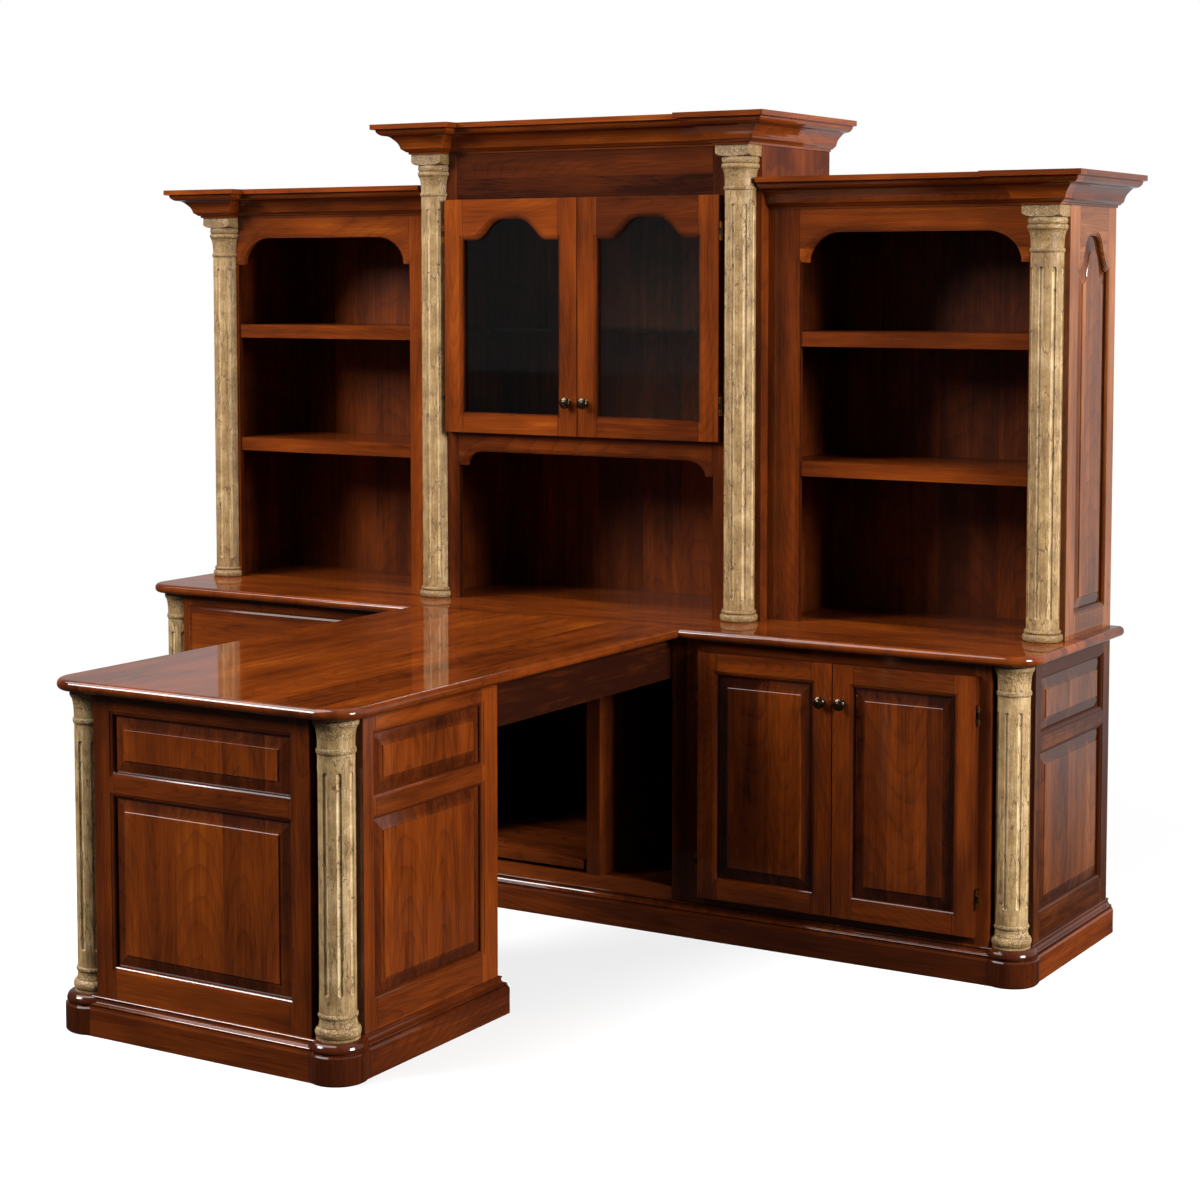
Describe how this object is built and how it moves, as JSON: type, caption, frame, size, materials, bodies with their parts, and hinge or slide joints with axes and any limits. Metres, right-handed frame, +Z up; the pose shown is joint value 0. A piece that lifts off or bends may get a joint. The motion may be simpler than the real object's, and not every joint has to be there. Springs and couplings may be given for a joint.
{
  "type": "partners desk",
  "caption": "Partners desk: panelled pedestal and kneehole top joined to a credenza, under a hutch with glass doors, arched bays, fluted corner columns and a stepped crown.",
  "frame": {"origin": "at floor level, in the middle of the whole desk's length and width", "axes": "+X to the right seen from the pedestal's end, +Y towards the wall behind the hutch, +Z up"},
  "size_m": [2.742, 1.974, 2.045],
  "materials": {
    "stained_cherry": "red-brown stain under satin lacquer",
    "dark_stained_wood": "darker stain under satin lacquer",
    "crackled_paint": "crackled cream paint with brown glaze on turned wood",
    "drawer_maple": "clear lacquer",
    "dark_bronze": "dark antique bronze",
    "runner_steel": "zinc plated",
    "clear_glass": "clear"
  },
  "bodies": {
    "desk": {"desk_top": "stained_cherry", "credenza_top": "stained_cherry", "left_cabinet_case": "stained_cherry", "centre_case": "stained_cherry", "right_cabinet_case": "stained_cherry", "left_face_frame": "stained_cherry", "centre_face_frame": "stained_cherry", "right_face_frame": "stained_cherry", "centre_divider": "stained_cherry", "credenza_end_frames": "stained_cherry", "credenza_end_panels": "stained_cherry", "credenza_plinth": "stained_cherry", "base_feet": "dark_stained_wood", "base_columns": "crackled_paint", "pedestal_case": "stained_cherry", "pedestal_front_frame": "stained_cherry", "pedestal_side_frames": "stained_cherry", "pedestal_panels": "stained_cherry", "pedestal_back": "stained_cherry", "pedestal_plinth": "stained_cherry", "base_caps": "stained_cherry", "desk_aprons": "stained_cherry", "drawer_runners": "drawer_maple", "cabinet_door_hinges": "dark_bronze", "cabinet_shelf": "stained_cherry", "tray_runners": "runner_steel", "centre_hutch_case": "stained_cherry", "centre_hutch_face_frame": "stained_cherry", "centre_hutch_crown": "stained_cherry", "centre_hutch_columns": "crackled_paint", "glass_shelf": "clear_glass", "glass_door_hinges": "dark_bronze", "left_hutch_case": "stained_cherry", "right_hutch_case": "stained_cherry", "side_hutch_face_frames": "stained_cherry", "hutch_end_frames": "stained_cherry", "hutch_end_panels": "stained_cherry", "side_hutch_shelves": "stained_cherry", "side_hutch_crowns": "stained_cherry", "side_hutch_columns": "crackled_paint"},
    "left_door": {"left_door_frame": "stained_cherry", "left_door_panel": "stained_cherry", "left_door_hardware": "dark_bronze"},
    "right_door": {"right_door_frame": "stained_cherry", "right_door_panel": "stained_cherry", "right_door_hardware": "dark_bronze"},
    "tray": {"pullout_tray": "stained_cherry"},
    "upper_drawer": {"upper_drawer_box": "drawer_maple", "upper_drawer_front": "stained_cherry", "upper_drawer_knobs": "dark_bronze"},
    "lower_drawer": {"lower_drawer_box": "drawer_maple", "lower_drawer_front": "stained_cherry", "lower_drawer_knobs": "dark_bronze"},
    "left_glass_door": {"left_glass_door_frame": "stained_cherry", "left_glass_pane": "clear_glass", "left_glass_door_hardware": "dark_bronze"},
    "right_glass_door": {"right_glass_door_frame": "stained_cherry", "right_glass_pane": "clear_glass", "right_glass_door_hardware": "dark_bronze"}
  },
  "joints": [
    {"name": "left_door_hinge", "type": "hinge", "parent": "desk", "child": "left_door", "pos_m": [0.448, 0.39, 0.414], "axis": [0, 0, -1], "range_deg": [0, 95]},
    {"name": "right_door_hinge", "type": "hinge", "parent": "desk", "child": "right_door", "pos_m": [1.19, 0.39, 0.414], "axis": [0, 0, 1], "range_deg": [0, 95]},
    {"name": "tray_slide", "type": "slide", "parent": "desk", "child": "tray", "axis": [0, -1, 0], "range_m": [0, 0.35]},
    {"name": "upper_drawer_slide", "type": "slide", "parent": "desk", "child": "upper_drawer", "axis": [0, -1, 0], "range_m": [0, 0.4]},
    {"name": "lower_drawer_slide", "type": "slide", "parent": "desk", "child": "lower_drawer", "axis": [0, -1, 0], "range_m": [0, 0.4]},
    {"name": "left_glass_door_hinge", "type": "hinge", "parent": "desk", "child": "left_glass_door", "pos_m": [-0.421, 0.558, 1.5355], "axis": [0, 0, -1], "range_deg": [0, 95]},
    {"name": "right_glass_door_hinge", "type": "hinge", "parent": "desk", "child": "right_glass_door", "pos_m": [0.421, 0.558, 1.5355], "axis": [0, 0, 1], "range_deg": [0, 95]}
  ]
}
